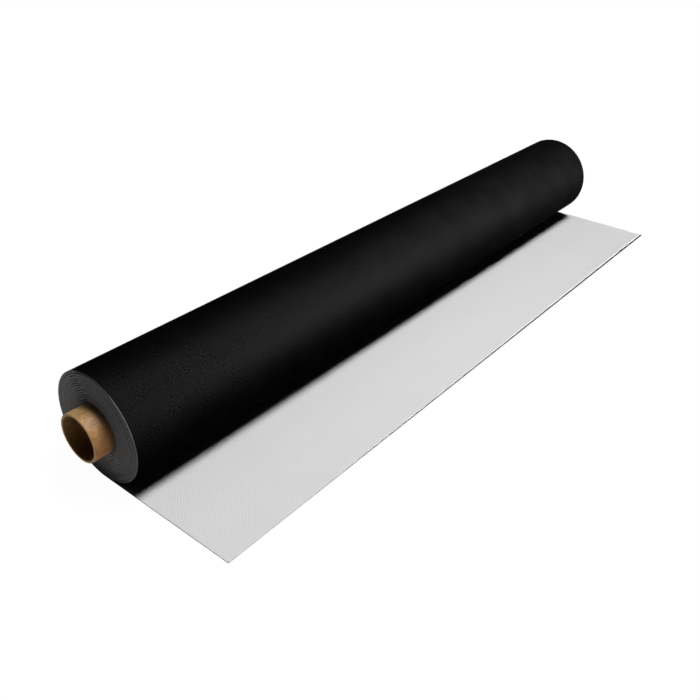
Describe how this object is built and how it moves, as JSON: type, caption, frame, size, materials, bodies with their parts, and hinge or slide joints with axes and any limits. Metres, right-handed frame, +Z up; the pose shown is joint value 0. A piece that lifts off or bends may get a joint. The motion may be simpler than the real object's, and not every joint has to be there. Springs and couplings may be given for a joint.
{
  "type": "roll of roofing membrane",
  "caption": "Roll of sheet roofing membrane wound on a cardboard tube, lying down with its loose end run out flat beside it.",
  "frame": {"origin": "on the floor, in the middle of the object's length and width", "axes": "+Y along the roll's axis, away from the end seen in the picture; +X the way the loose end runs out; +Z up"},
  "size_m": [0.3816, 1.568, 0.197],
  "materials": {
    "membrane": "matt black outer face with a light grey inner face and dark grey cut edges",
    "core_tube": "plain brown spiral-wound paper"
  },
  "bodies": {
    "root": {"membrane": "membrane", "core_tube": "core_tube"}
  },
  "joints": []
}
